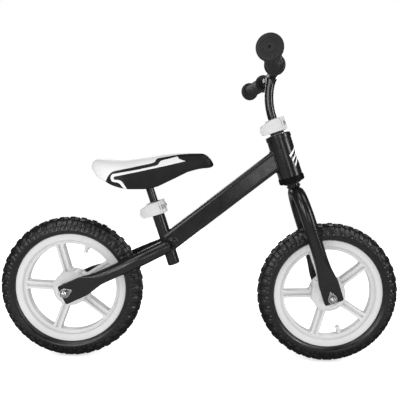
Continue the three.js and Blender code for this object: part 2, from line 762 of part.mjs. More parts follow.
// One section of the saddle's outside, pulled in by `shell` above and `wall` at the sides.
function saddleSection([x, top, bottom, half], shell, wall, drop) {
  const crown = top - shell
  const low = bottom - drop
  return {
    centre: new THREE.Vector3(x, 0, (crown + low) / 2),
    side: SIDE,
    up: new THREE.Vector3(0, 0, 1),
    wide: Math.max(half - wall, 2),
    high: Math.max((crown - low) / 2, 1),
    square: 0.62,
  }
}

function saddleForm(shell, wall, drop) {
  const inset = shell > 0 ? SADDLE_ROWS.slice(1, -1) : SADDLE_ROWS
  return swept(inset.map((row) => saddleSection(row, shell, wall, drop)))
}

const POST_TOP_X = SEAT.x - (SEAT_POST.plateZ - SEAT.z) * Math.tan(SEAT.tilt)
const PLATE = { halfX: 35, halfY: 17, thick: 3, boltX: 26 }
const BOLT_PLACES = [[PLATE.boltX, 'front'], [-PLATE.boltX, 'rear']]

function saddleBoltHoles(radius, low, high) {
  return BOLT_PLACES.map(([x]) => rod(radius, low, high).translate(POST_TOP_X + x, 0, 0))
}

function seatPost() {
  const { radius, wall, bottom, plateZ } = SEAT_POST
  const tube = inBike(seatFrame, ring(radius - wall, radius, bottom, 220))
  const above = block(-200, 0, -40, 40, plateZ + 1, 500)
  const flange = block(
    POST_TOP_X - PLATE.halfX, POST_TOP_X + PLATE.halfX, -PLATE.halfY, PLATE.halfY,
    plateZ, plateZ + PLATE.thick)
  const holes = saddleBoltHoles(3.2, plateZ - 5, plateZ + 8)
  return cut(join(cut(tube, above), flange), ...holes)
}

// The cover is foam under a skin, open below: thick on top, with thin skirts.
const COVER_WALL = { top: 16, side: 6, open: 6 }
const BASE_WALL = 3

function saddleCover() {
  return cut(saddleForm(0, 0, 0), saddleForm(COVER_WALL.top, COVER_WALL.side, COVER_WALL.open))
}

function saddleBase() {
  const { top, side, open } = COVER_WALL
  const outside = common(saddleForm(top + GAP, side + GAP, open), saddleForm(1, 0, -2))
  const hollow = saddleForm(top + GAP + BASE_WALL, side + GAP + BASE_WALL, 2 * open)
  const padLow = SEAT_POST.plateZ + PLATE.thick + GAP
  const pad = block(POST_TOP_X - 38, POST_TOP_X + 38, -20, 20, padLow, 440)
  const holes = saddleBoltHoles(3.1, padLow - 5, padLow + 8)
  return cut(join(cut(outside, hollow), common(outside, pad)), ...holes)
}

function addSaddle() {
  addPart(bike, 'saddle_cover', saddleCover(), COVER)
  addPart(bike, 'saddle_base', saddleBase(), BLACK_PLASTIC)
  addPart(bike, 'seat_post', seatPost(), GLOSS_PAINT)
  const headTop = SEAT_POST.plateZ - GAP
  const screw = turned([
    [0, headTop - 4], [5, headTop - 4], [5, headTop], [2.8, headTop],
    [2.8, headTop + 10], [0, headTop + 10],
  ], 16)
  for (const [x, name] of BOLT_PLACES) {
    addPart(bike, `saddle_screw_${name}`, screw.clone().translate(POST_TOP_X + x, 0, 0), STEEL)
  }
}

// ---------------------------------------------------------------- the whole bike

addFrame()
addHeadset()
addFork()
addHandlebar()
addSaddle()
addClamp(seatFrame, 'seat', 111, SEAT.tubeRadius)
addClamp(steerFrame, 'bar', 357.5, STEER.tubeRadius)
addWheel(rearFrame, 'rear', 34, 70)
addWheel(frontFrame, 'front', 39, 289)
addAxle(rearFrame, 'rear', STAY.angle)
addAxle(frontFrame, 'front', Math.PI / 2 + STEER.tilt)

export default bike
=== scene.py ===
"""The looks of a child's balance bike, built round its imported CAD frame.

Tubes, tyres, rims, grips, clamps and the saddle are fine meshes in the places of their CAD
nodes. Shapes are written in millimetres, in the local frame of the wheel, tube or bike that
they belong to, and that frame's matrix carries them to metres in the row's frame.
"""

import json
import math

import bmesh
import bpy
import numpy as np
from mathutils import Matrix, Vector


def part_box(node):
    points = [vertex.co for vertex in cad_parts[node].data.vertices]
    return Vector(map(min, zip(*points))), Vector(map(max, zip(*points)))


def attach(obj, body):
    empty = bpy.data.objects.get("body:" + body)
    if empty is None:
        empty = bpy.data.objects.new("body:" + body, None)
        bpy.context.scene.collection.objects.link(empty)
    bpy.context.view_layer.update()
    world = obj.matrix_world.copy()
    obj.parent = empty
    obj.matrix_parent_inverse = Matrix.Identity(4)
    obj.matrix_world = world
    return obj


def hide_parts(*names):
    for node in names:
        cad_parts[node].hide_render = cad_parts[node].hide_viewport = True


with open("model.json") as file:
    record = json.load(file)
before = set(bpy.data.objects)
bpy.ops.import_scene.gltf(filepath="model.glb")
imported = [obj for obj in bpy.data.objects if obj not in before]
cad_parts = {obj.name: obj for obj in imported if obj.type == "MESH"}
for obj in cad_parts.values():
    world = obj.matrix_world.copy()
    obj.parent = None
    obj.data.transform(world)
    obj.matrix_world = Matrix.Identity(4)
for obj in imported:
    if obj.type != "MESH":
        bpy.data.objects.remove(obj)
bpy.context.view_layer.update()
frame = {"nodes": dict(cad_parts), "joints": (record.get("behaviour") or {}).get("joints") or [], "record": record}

MM = 0.001
MERGE_DISTANCE = 2e-6  # in metres
SIDES = {"right": -1, "left": 1}  # which way y goes
JOINTS = {joint["name"]: joint for joint in frame["joints"]}

# --- sizes, in millimetres

TREAD_PITCHES = 40
SPOKES = 5
FIRST_SPOKE = {"rear": 34, "front": 39}  # degrees from forward, towards the top
VALVE_ANGLE = {"rear": 70, "front": 289}
PLATE_MIDDLE, PLATE_HALF = 41.25, 2.25  # dropout plates, from the centre plane
TUBE_RADIUS, TUBE_BORE = 12.7, 10.9  # seat tube and steerer
HEAD_RADIUS = 25.2
LEG_RADIUS = 14  # of the stays too
STAY_ANGLE = math.radians(25.6)
MAIN_ANGLE = math.radians(38.9)
MAIN_HEIGHT, MAIN_WIDTH, MAIN_CORNER = 40, 28, 8
MAIN_FOOT = 46.4  # where its middle meets the seat tube's axis, from that tube's lower end
BAR_RADIUS, BAR_HALF, BAR_STRAIGHT = 11, 199.7, 51
BAR_SWEEP = math.radians(11.9)
BAR_POST_RADIUS, SEAT_POST_RADIUS = 9.25, 8.4
TUBE_SIDES = 56  # faces round a bent tube
CLAMP_HEIGHT, CLAMP_OUTER = 27.3, 17.3
SEAT_CLAMP, BAR_CLAMP = 111, 357.5  # lower edges, along their tubes

# --- local frames


def middle(node):
    low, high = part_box(node)
    return (low + high) / 2


def local_frame(origin, forward, side, up):
    turn = Matrix((forward, side, up)).transposed().to_4x4()
    return Matrix.Translation(origin) @ turn @ Matrix.Scale(MM, 4)


def leaning_frame(origin, axis):
    """x is forward, y is left and z is up along a tube that leans back."""
    up, side = Vector(axis).normalized(), Vector((0, 1, 0))
    return local_frame(origin, side.cross(up), side, up)


def wheel_frame(hub):
    """x is forward, y is up and z is towards the bike's right."""
    forward, up = Vector((1, 0, 0)), Vector((0, 0, 1))
    return local_frame(hub, forward, up, forward.cross(up))


STEER_AXIS = Vector(JOINTS["steering"]["axis"]).normalized()
SEAT_AXIS = Vector(JOINTS["saddle_height"]["axis"]).normalized()
FRONT_HUB = Vector(JOINTS["front_wheel_spin"]["pos_m"])
REAR_HUB = Vector(JOINTS["rear_wheel_spin"]["pos_m"])
SEAT_TUBE_MIDDLE = 69.15  # along the seat tube's axis, from its lower end
SEAT_ORIGIN = middle("seat_tube") - SEAT_AXIS * SEAT_TUBE_MIDDLE * MM

BIKE = Matrix.Scale(MM, 4)
STEER = leaning_frame(FRONT_HUB, STEER_AXIS)
SEAT = leaning_frame(SEAT_ORIGIN, SEAT_AXIS)
WHEEL = {"rear": wheel_frame(REAR_HUB), "front": wheel_frame(FRONT_HUB)}

# --- mesh code


def unit(vectors):
    return vectors / np.linalg.norm(vectors, axis=-1, keepdims=True)


def curve_through(points, stations):
    """A smooth curve through (x, value...) rows that doesn't overshoot them."""
    points = np.array(points, float)
    x, values = points[:, 0], points[:, 1:]
    gaps = np.diff(x)[:, None]
    slopes = np.diff(values, axis=0) / gaps
    tangents = np.zeros_like(values)
    tangents[0], tangents[-1] = slopes[0], slopes[-1]
    together = slopes[:-1] * slopes[1:] > 0
    total = np.where(together, slopes[:-1] + slopes[1:], 1)
    tangents[1:-1] = np.where(together, 2 * slopes[:-1] * slopes[1:] / total, 0)
    stations = np.atleast_1d(np.asarray(stations, float))
    i = np.clip(np.searchsorted(x, stations) - 1, 0, len(x) - 2)
    t = np.clip((stations - x[i]) / gaps[i, 0], 0, 1)[:, None]
    rise = (2 * t**3 - 3 * t**2 + 1) * values[i] + (3 * t**2 - 2 * t**3) * values[i + 1]
    lean = (t**3 - 2 * t**2 + t) * tangents[i] + (t**3 - t**2) * tangents[i + 1]
    return rise + lean * gaps[i]


def filleted(corners, radius, steps):
    """A closed outline with its corners rounded, by one radius or one for each corner."""
    corners = np.array(corners, float)
    radii = np.broadcast_to(radius, len(corners))
    points = []
    for i, corner in enumerate(corners):
        before, after = corners[i - 1] - corner, corners[(i + 1) % len(corners)] - corner
        lengths = np.linalg.norm(before), np.linalg.norm(after)
        before, after = before / lengths[0], after / lengths[1]
        half = math.acos(np.clip(before @ after, -1, 1)) / 2
        if radii[i] == 0 or half > 1.5:  # left sharp, or nearly straight
            points.append(corner)
            continue
        reach = min(radii[i] / math.tan(half), 0.48 * lengths[0], 0.48 * lengths[1])
        for t in np.linspace(0, 1, steps + 1):
            rounded = (1 - t) ** 2 * before + t**2 * after
            points.append(corner + rounded * reach)
    return np.array(points)


def rounded_rectangle(x, half_x, half_y, radius, steps):
    """An outline round (x, 0)."""
    corners = [(x - half_x, -half_y), (x + half_x, -half_y), (x + half_x, half_y),
               (x - half_x, half_y)]
    return filleted(corners, radius, steps)


def stitched(rings, loop=False, caps=False):
    """Vertices and faces through rings that have the same number of points."""
    rows, sides = len(rings), len(rings[0])
    faces = []
    for i in range(rows if loop else rows - 1):
        a, b = i * sides, (i + 1) % rows * sides
        for j in range(sides):
            k = (j + 1) % sides
            faces.append((a + j, a + k, b + k, b + j))
    if caps:
        faces.append(tuple(range(sides)))
        faces.append(tuple(range((rows - 1) * sides, rows * sides)))
    return np.concatenate(rings), faces


def full_turn(count):
    """Equal steps of angle round a circle."""
    return np.arange(count) * 2 * math.pi / count


def round_points(radius, angle, z):
    """Points about Z. Of the three, some are arrays and the others are the same for all."""
    return np.column_stack(np.broadcast_arrays(radius * np.cos(angle), radius * np.sin(angle), z))


def arc(radius, start, end, count):
    """(x, y) points along a part of a circle, between two angles in degrees."""
    return round_points(radius, np.radians(np.linspace(start, end, count)), 0)[:, :2].tolist()


def lathe(outline, sides, fillet):
    """Turns an outline of (radius, z) points about Z. Off the axis, the outline is a ring."""
    outline = np.array(outline, float)
    profile = filleted(outline, np.where(outline[:, 0] > 0, fillet, 0), 3)
    rings = [round_points(radius, full_turn(sides), z) for radius, z in profile]
    return stitched(rings, loop=outline[:, 0].min() > 0)


def pipe(bore, radius, low, high, sides, fillet):
    """A plain tube about Z, or a rod if the bore is 0."""
    return lathe([(bore, low), (radius, low), (radius, high), (bore, high)], sides, fillet)


def turned_to(shape, matrix):
    """A shape moved by a matrix that is in millimetres."""
    verts, faces = shape
    turn = np.array(matrix.to_3x3())
    return verts @ turn.T + np.array(matrix.translation), faces


def merged(*shapes):
    verts, faces, start = [], [], 0
    for points, polygons in shapes:
        verts.append(points)
        faces += [tuple(start + k for k in polygon) for polygon in polygons]
        start += len(points)
    return np.concatenate(verts), faces


def extruded(outline, low, high, edge, steps=2):
    """A flat outline raised from low to high, with its rims rounded over."""
    outline = np.array(outline, float)
    along = unit(np.roll(outline, -1, 0) - np.roll(outline, 1, 0))
    outward = np.column_stack((along[:, 1], -along[:, 0]))
    low, high = np.broadcast_to(low, len(outline)), np.broadcast_to(high, len(outline))
    rings = []
    for height, way in ((low, 1), (high, -1)):
        for turn in np.linspace(0, math.pi / 2, steps + 1)[::way]:
            flat = outline - outward * edge * (1 - math.sin(turn))
            rings.append(np.column_stack((flat, height + way * edge * (1 - math.cos(turn)))))
    return stitched(rings, caps=True)


def lofted(centres, side, wide, high, square):
    """A body round a path. Each section lies across the path and has two half-sizes, and
    square is 1 for an ellipse and near 0 for a rectangle."""
    centres, side = np.array(centres, float), np.array(side, float)
    along = unit(np.gradient(centres, axis=0))
    up = unit(np.cross(along, side))
    cos, sin = np.cos(full_turn(TUBE_SIDES)), np.sin(full_turn(TUBE_SIDES))
    rings = []
    for k, centre in enumerate(centres):
        x = np.sign(cos) * np.abs(cos) ** square[k] * wide[k]
        z = np.sign(sin) * np.abs(sin) ** square[k] * high[k]
        rings.append(centre + x[:, None] * side + z[:, None] * up[k])
    return stitched(rings, caps=True)


def ring_across(along, side, count):
    """Points round a direction, 1 away from it. side is at a right angle to it."""
    angles = full_turn(count)[:, None]
    return np.cos(angles) * side + np.sin(angles) * np.cross(along, side)


def tube(path, radius):
    """A round body along any smooth path, with a frame that doesn't twist."""
    path = np.array(path, float)
    radius = np.broadcast_to(radius, len(path))
    along = unit(np.gradient(path, axis=0))
    side = np.cross(along[0], [0.3, 0.5, 0.8])
    rings = []
    for k, centre in enumerate(path):
        side = unit(side - (side @ along[k]) * along[k])
        rings.append(centre + ring_across(along[k], side, TUBE_SIDES) * radius[k])
    return stitched(rings, caps=True)


def weld_bead(curve, radius):
    """A closed seam of weld metal, with the small ripples of its pools."""
    along = unit(np.roll(curve, -1, 0) - np.roll(curve, 1, 0))
    outward = curve - curve.mean(0)
    rings = []
    for k, point in enumerate(curve):
        side = unit(outward[k] - (outward[k] @ along[k]) * along[k])
        ripple = radius * (1 + 0.2 * math.sin(k * math.pi / 2))
        rings.append(point + ring_across(along[k], side, 10) * ripple)
    return stitched(rings, loop=True)


def new_object(name, data):
    thing = bpy.data.objects.new(name, data)
    bpy.context.collection.objects.link(thing)
    return thing


def add_piece(name, shape, matrix, material, body, replaces=(), panel=None):
    """Makes a piece from a shape in a local frame and lets it ride on a body. panel holds
    three numbers for each point, for a material that draws a graphic."""
    verts, faces = shape
    mesh = bpy.data.meshes.new(name)
    mesh.from_pydata([tuple(v) for v in verts], [], faces)
    if panel is not None:
        attribute = mesh.attributes.new("panel", "FLOAT_VECTOR", "POINT")
        attribute.data.foreach_set("vector", np.asarray(panel, float).ravel())
    mesh.transform(matrix)
    work = bmesh.new()
    work.from_mesh(mesh)
    bmesh.ops.remove_doubles(work, verts=work.verts, dist=MERGE_DISTANCE)
    bmesh.ops.recalc_face_normals(work, faces=work.faces)
    work.to_mesh(mesh)
    work.free()
    mesh.shade_smooth()
    mesh.materials.append(material)
    piece = new_object(name, mesh)
    weighted = piece.modifiers.new("flat faces stay flat", "WEIGHTED_NORMAL")
    weighted.keep_sharp = True
    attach(piece, body)
    if replaces:
        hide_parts(*replaces)
    return piece


# --- materials


class Nodes:
    """A material's nodes, with short calls for the ones used here."""

    def __init__(self, name):
        self.material = bpy.data.materials.new(name)
        self.material.use_nodes = True
        self.tree = self.material.node_tree
        self.shader = self.tree.nodes["Principled BSDF"]
        self.place = self.tree.nodes.new("ShaderNodeTexCoord").outputs["Object"]

    def link(self, value, socket):
        if isinstance(value, (int, float, tuple)):
            socket.default_value = value
        else:
            self.tree.links.new(value, socket)

    def add(self, kind, sockets, output, **settings):
        """A new node with its settings and its input sockets given. Returns one output."""
        node = self.tree.nodes.new(f"ShaderNode{kind}")
        for setting, value in settings.items():
            setattr(node, setting, value)
        for socket, value in sockets.items():
            self.link(value, node.inputs[socket])
        return node.outputs[output]

    def set(self, **sockets):
        """Sets or links the shader's own sockets, written with _ for a space."""
        for socket, value in sockets.items():
            self.link(value, self.shader.inputs[socket.replace("_", " ")])

    def noise(self, scale, detail):
        return self.add("TexNoise", {"Vector": self.place, "Scale": scale, "Detail": detail}, "Fac")

    def spread(self, value, low, high, start=0.3, end=0.7):
        """A value between start and end as one between low and high."""
        return self.add("MapRange", {"Value": value, "From Min": start, "From Max": end,
                                     "To Min": low, "To Max": high}, "Result")

    def mix(self, factor, a, b):
        return self.add("Mix", {"Factor": factor, "A": a, "B": b}, "Result", data_type="RGBA")

    def math(self, operation, first, second):
        return self.add("Math", {0: first, 1: second}, "Value", operation=operation)

    def bump(self, height, distance):
        self.set(Normal=self.add("Bump", {"Height": height, "Distance": distance}, "Normal"))

    def worn_edges(self):
        """1 along some stretches of the sharp edges."""
        edges = self.spread(self.add("NewGeometry", {}, "Pointiness"), 0, 1, 0.53, 0.62)
        return self.math("MULTIPLY", edges, self.spread(self.noise(90, 4.0), 0, 1, 0.45, 0.62))


def grey(value):
    return (value, value, value, 1)


def surface(name, shade, lighter, roughness, grain, metallic=0.0, coat=0.0, wear=None,
            specular=0.5):
    """A finish that drifts between two greys and two roughnesses. grain is (scale, height in
    mm), and wear is the grey of its worn edges."""
    nodes = Nodes(name)
    tone = nodes.spread(nodes.noise(14, 3.0), 0, 1)
    colour = nodes.mix(tone, grey(shade), grey(lighter))
    if wear:
        colour = nodes.mix(nodes.worn_edges(), colour, grey(wear))
    rough = nodes.spread(nodes.noise(60, 4.0), *roughness)
    nodes.set(Base_Color=colour, Roughness=rough, Metallic=metallic, Specular_IOR_Level=specular,
              Coat_Weight=coat, Coat_Roughness=0.12)
    nodes.bump(nodes.noise(grain[0], 3.0), grain[1] * MM)
    return nodes.material


PAINT = surface("black_powder_coat", 0.005, 0.008, (0.22, 0.3), (900, 0.003), wear=0.04)
CUP_BLACK = surface("black_pressed_cup", 0.002, 0.003, (0.5, 0.6), (900, 0.02), specular=0.1)
GLOSS = surface("black_gloss_paint", 0.005, 0.008, (0.16, 0.26), (500, 0.004), coat=0.3, wear=0.04)
DARK_PLASTIC = surface("black_moulding", 0.008, 0.012, (0.42, 0.55), (1400, 0.01), specular=0.4)
WHITE_PLASTIC = surface("white_moulding", 0.45, 0.48, (0.34, 0.46), (700, 0.006))
NYLON = surface("natural_nylon", 0.5, 0.56, (0.4, 0.5), (900, 0.01))
FOAM = surface("foam_rubber", 0.004, 0.007, (0.26, 0.38), (1100, 0.02), wear=0.02)
GRIP_RUBBER = surface("grip_rubber", 0.008, 0.012, (0.5, 0.62), (1500, 0.02), wear=0.03,
                      specular=0.4)
CHROME = surface("chrome_plate", 0.55, 0.66, (0.12, 0.26), (500, 0.006), metallic=1.0)
STEEL = surface("zinc_steel", 0.42, 0.52, (0.28, 0.42), (800, 0.01), metallic=1.0)
DECAL = surface("white_decal", 0.74, 0.78, (0.3, 0.4), (900, 0.005))

# --- wheels


def tyre_outline():
    """Half of the tyre's section without its blocks: (radius, z) from bead to crown."""
    corners = [
        (115.4, 13.5), (115.8, 15.2), (117.0, 16.8), (119.2, 18.6), (121.2, 19.9), (123.0, 20.5),
        (124.6, 20.6), (126.8, 20.1), (130.0, 19.2), (134.0, 17.5), (138.0, 15.2), (141.5, 12.4),
        (144.5, 9.0), (146.7, 5.0), (147.7, 0.0),
    ]
    rows = [(k, *corner) for k, corner in enumerate(corners)]
    return curve_through(rows, np.linspace(0, len(corners) - 1, 38))


def rise(value, start, end, ramp=0.06):
    """1 between start and end and 0 outside them, with a short ramp at each."""
    return np.clip((value - start) / ramp, 0, 1) * np.clip((end - value) / ramp, 0, 1)


def tread_height(phase, radius, z):
    """How far the blocks stand out of the tyre, in mm, at a phase of one tread pitch."""
    shoulder = rise(phase, 0.02, 0.60) * rise(radius, 131.5, 160, 1.2) * rise(np.abs(z), 8, 40, 1.2)
    lower_bar = rise(phase, 0.12, 0.50) * rise(radius, 126.0, 130.6, 0.8)
    small = rise(phase, 0.68, 0.94) * rise(radius, 126.5, 135.0, 1.0)
    half_pitch = np.where(z > 0, (phase + 0.5) % 1, phase)
    centre = rise(half_pitch, 0.05, 0.55) * rise(np.abs(z), 0.8, 6.6, 1.0)
    return np.maximum.reduce([2.2 * shoulder, lower_bar, 1.3 * small, 2.2 * centre])


def tyre_shape():
    half = tyre_outline()
    section = np.concatenate([half, (half * [1, -1])[::-1][1:]])
    along = unit(np.gradient(section, axis=0))
    outward = np.column_stack((-along[:, 1], along[:, 0]))
    rings = []
    per_pitch, first_pitch = 16, 0.7
    for i in range(TREAD_PITCHES * per_pitch):
        phase = (i % per_pitch) / per_pitch
        height = tread_height(phase, section[:, 0], section[:, 1])
        profile = section + outward * height[:, None]
        angle = 2 * math.pi * (i / per_pitch + first_pitch) / TREAD_PITCHES
        rings.append(round_points(profile[:, 0], angle, profile[:, 1]))
    return stitched(rings, loop=True)


def rim_ring():
    """The rim, thinner at its inner edge."""
    return lathe([
        (93.5, -6.6), (100.2, -7.6), (101.4, -11.6), (103.4, -13), (115.2, -13),
        (115.2, 13), (103.4, 13), (101.4, 11.6), (100.2, 7.6), (93.5, 6.6),
    ], 160, 0.9)


def hub_shape():
    """The hub, wider in its middle, with a seat for a bearing at each end."""
    return lathe([
        (11.3, 33.7), (16, 33.7), (16, 32.6), (18, 32.6), (18, 33.7), (23, 33.7), (24, 30),
        (36, 15), (36, -15), (24, -30), (23, -33.7), (18, -33.7), (18, -32.6), (16, -32.6),
        (16, -33.7), (11.3, -33.7), (11.3, -26.4), (7.5, -26.4), (7.5, 26.4), (11.3, 26.4),
    ], 96, 0.8)


def spoke_shape(angle):
    """Two ridges with a groove between them, flared where they meet the hub and the rim."""
    groove, half, web, thick = 2.6, 8.0, 4.6, 7.6
    flare, hub_end, rim_end = 9.0, 34.5, 95.5
    face = np.array([(-half, -thick), (-groove, -thick), (-groove, -web), (groove, -web),
                     (groove, -thick), (half, -thick)])
    section = filleted(np.concatenate([face, -face]), 0.9, 3)
    rings = []
    for radius in np.concatenate([np.linspace(33, 44, 8), np.linspace(86, 101, 11)]):
        near = np.clip(1 - min(radius - hub_end, rim_end - radius) / flare, 0, 1)
        extra = flare * (1 - math.sqrt(1 - near**2)) * 0.8
        ends = np.abs(section[:, 0]) > groove + 1
        across = section[:, 0] + np.sign(section[:, 0]) * extra * ends
        depth = section[:, 1] * (1 - np.clip((radius - 96) / 5, 0, 1) * 0.5)
        rings.append(np.column_stack((np.full(len(section), radius), across, depth)))
    return turned_to(stitched(rings, caps=True), Matrix.Rotation(math.radians(angle), 4, "Z"))


def valve_shape(angle):
    """The stub moulded on the rim, pointing at the hub."""
    stub = lathe([(0, 0), (4.2, 0), (4.2, 9), (5.4, 10), (5.4, 20), (0, 20)], 32, 0.8)
    place = Matrix.Translation((78.5, 0, 0)) @ Matrix.Rotation(math.pi / 2, 4, "Y")
    return turned_to(stub, Matrix.Rotation(math.radians(angle), 4, "Z") @ place)


def add_wheels():
    for end, wheel in WHEEL.items():
        body = f"{end}_wheel"
        spokes = [spoke_shape(FIRST_SPOKE[end] + 360 * k / SPOKES) for k in range(SPOKES)]
        rim = merged(rim_ring(), hub_shape(), valve_shape(VALVE_ANGLE[end]), *spokes)
        add_piece(f"{end}_five_spoke_rim", rim, wheel, WHITE_PLASTIC, body,
                  [f"{end}_rim"])
        add_piece(f"{end}_block_tread_tyre", tyre_shape(), wheel, FOAM, body,
                  [f"{end}_tyre"])


# --- axles


def domed_hexagon(base):
    """A hexagon nut with a domed cap: at each height the smaller of a hexagon and a circle."""
    heights = [
        (0, 7.1), (0.5, 7.5), (4.6, 7.5), (5.0, 7.2), (5.4, 6.2), (5.8, 5.7), (6.8, 5.2),
        (7.6, 4.2), (8.2, 2.6), (8.4, 0.01),
    ]
    angles = full_turn(72)
    hexagon = 6.5 / np.cos((angles + math.pi / 6) % (math.pi / 3) - math.pi / 6)
    rings = [round_points(np.minimum(hexagon, radius), angles, base + height)
             for height, radius in heights]
    return stitched(rings, caps=True)


def tab_washer(base, tip):
    """A round eye drawn out to a tip, with the bump of its hook."""
    opening = math.degrees(0.87)
    eye = arc(9.7, opening, 360 - opening, 40)
    lower = [(11.5, -4.2), (15.3, -1.9), (17.0, -0.6), (17.0, 0.6), (15.3, 1.9), (11.5, 4.2)]
    plate = extruded(eye + lower, base, base + 1.5, 0.35)
    lip = lathe([(0, base + 1), (1.9, base + 1), (1.6, base + 2.1), (0, base + 2.1)], 24, 0.3)
    hook = turned_to(lip, Matrix.Translation((14.4, 0, 0)))
    return turned_to(merged(plate, hook), Matrix.Rotation(tip, 4, "Z"))


def mirrored(shape):
    verts, faces = shape
    return verts * [1, 1, -1], faces


def add_axles():
    plate_face = PLATE_MIDDLE + PLATE_HALF
    tips = {"rear": STAY_ANGLE, "front": math.pi / 2 + math.acos(STEER_AXIS.z)}
    for end, body in (("rear", "frame"), ("front", "fork")):
        washer = tab_washer(plate_face + 0.3, tips[end])
        nut = domed_hexagon(plate_face + 2.1)
        for side, flip in (("right", lambda shape: shape), ("left", mirrored)):
            node = f"{end}_axle_nut" if side == "right" else f"{end}_axle_bolt"
            add_piece(f"{end}_{side}_domed_nut", flip(nut), WHEEL[end], CHROME, body,
                      [node])
            add_piece(f"{end}_{side}_tab_washer", flip(washer), WHEEL[end], CHROME, body,
                      [f"{end}_washer_{side}"])


# --- frame


def meet_cylinder(points, direction, axis_point, axis, radius):
    """How far each point goes along a direction to meet a cylinder, by its far and near side."""
    offset = points - axis_point
    across = direction - (direction @ axis) * axis
    flat = offset - (offset @ axis)[:, None] * axis
    a = across @ across
    b = flat @ across
    c = (flat**2).sum(1) - radius**2
    root = np.sqrt(np.maximum(b * b - a * c, 0))
    return (-b - root) / a, (-b + root) / a


def with_long_sides_cut(outline, longest, parts):
    """A closed outline with each side that is longer than longest cut into equal parts."""
    points = []
    for start, end in zip(outline, np.roll(outline, -1, 0)):
        count = parts if np.linalg.norm(end - start) > longest else 1
        points += list(np.linspace(start, end, count + 1)[:-1])
    return np.array(points)


def along_and_across(angle):
    """The directions along a tube that climbs forward at an angle, and up across it."""
    c, s = math.cos(angle), math.sin(angle)
    return np.array([c, 0, s]), np.array([-s, 0, c])


def main_tube_pieces():
    """The main tube, cut to the seat tube and the head tube, and the weld round each end."""
    outline = rounded_rectangle(0, MAIN_HEIGHT / 2, MAIN_WIDTH / 2, MAIN_CORNER, 8)
    outline = with_long_sides_cut(outline, 6, 8)
    forward, upward = along_and_across(MAIN_ANGLE)
    start = np.array(SEAT_ORIGIN + SEAT_AXIS * MAIN_FOOT * MM) / MM
    points = start + outline[:, :1] * upward + outline[:, 1:] * [0, 1, 0]
    seat, head = np.array(SEAT_AXIS), np.array(STEER_AXIS)
    first = meet_cylinder(points, forward, start, seat, TUBE_RADIUS)[1]
    last = meet_cylinder(points, forward, np.array(FRONT_HUB) / MM, head, HEAD_RADIUS)[0]
    low_end = points + (first - 0.5)[:, None] * forward
    high_end = points + (last + 0.5)[:, None] * forward
    # The rings beside the ends keep the sides' shading flat up to the caps.
    places = np.concatenate([[0, 0.004], np.linspace(0.05, 0.95, 10), [0.996, 1]])
    rings = [low_end * (1 - t) + high_end * t for t in places]
    return stitched(rings, caps=True), low_end + forward, high_end - forward


def stay_point(distance, y, above):
    """A point by its distance from the axle along the stays' line, and its height above it."""
    along, upward = along_and_across(STAY_ANGLE)
    return np.array(REAR_HUB) / MM + distance * along + above * upward + [0, y, 0]


def eased(rows, stations, plain_until, blur):
    """Straight lines between rows, smoothed along the length past the flat plate."""
    rows = np.array(rows, float)
    fine = np.column_stack([np.interp(stations, rows[:, 0], column) for column in rows.T[1:]])
    smooth = np.empty_like(fine)
    for k, station in enumerate(stations):
        reach = min(blur, max(station - plain_until, 0.01), max(stations[-1] - station, 0.01))
        weight = np.clip(1 - np.abs(stations - station) / reach, 0, None)
        smooth[k] = (fine * weight[:, None]).sum(0) / weight.sum()
    return smooth.T


ROUND = (LEG_RADIUS, LEG_RADIUS, 1)

# Distance from the axle, offset from the centre plane, height above the stay's line, half-height,
# half-thickness, and squareness.
STAY_ROWS = [
    (-8.7, PLATE_MIDDLE, -2.3, 17.0, PLATE_HALF - 0.5, 0.12),
    (-8.3, PLATE_MIDDLE, -2.3, 18.2, PLATE_HALF, 0.12),
    (-6.8, PLATE_MIDDLE, -2.3, 20.0, PLATE_HALF, 0.12),
    (-5.0, PLATE_MIDDLE, -2.3, 20.3, PLATE_HALF, 0.12),
    (38, PLATE_MIDDLE, -2.3, 20.3, PLATE_HALF, 0.16),
    (55, PLATE_MIDDLE + 0.4, -1.6, 17, 6.5, 0.55),
    (72, 42, -0.4, 13.4, 11.5, 0.85),
    (100, 42, 0, 13.6, 13.6, 1),
    (140, 42, 0, *ROUND),
    (170, 38, 0, *ROUND),
    (200, 29, 0, *ROUND),
    (222, 25, 0, *ROUND),
    (229, 24.3, 0, LEG_RADIUS - 0.6, LEG_RADIUS - 0.6, 1),
    (233, 24, 0, LEG_RADIUS - 4, LEG_RADIUS - 4, 1),
]

# The same for a fork leg, by height along the steering axis; the third number is forward.
LEG_ROWS = [
    (-9.5, PLATE_MIDDLE, 1.8, 15.5, PLATE_HALF - 0.5, 0.12),
    (-9.1, PLATE_MIDDLE, 1.8, 17.2, PLATE_HALF, 0.12),
    (-7.6, PLATE_MIDDLE, 1.8, 19.6, PLATE_HALF, 0.12),
    (-5.5, PLATE_MIDDLE, 1.8, 20.2, PLATE_HALF, 0.12),
    (34, PLATE_MIDDLE, 1.8, 20.2, PLATE_HALF, 0.16),
    (50, PLATE_MIDDLE + 1, 1.5, 17.5, 7, 0.55),
    (68, 44, 1, 14.8, 12, 0.85),
    (90, 45, 1, *ROUND),
    (160, 45, 1, *ROUND),
]


def stay_shape(side):
    stations = np.concatenate([[row[0] for row in STAY_ROWS[:4]], np.arange(0, 233.5, 2.5)])
    y, above, high, wide, square = eased(STAY_ROWS, stations, plain_until=30, blur=14)
    centres = [stay_point(d, side * b, c) for d, b, c in zip(stations, y, above)]
    return lofted(centres, (0, 1, 0), wide, high, square)


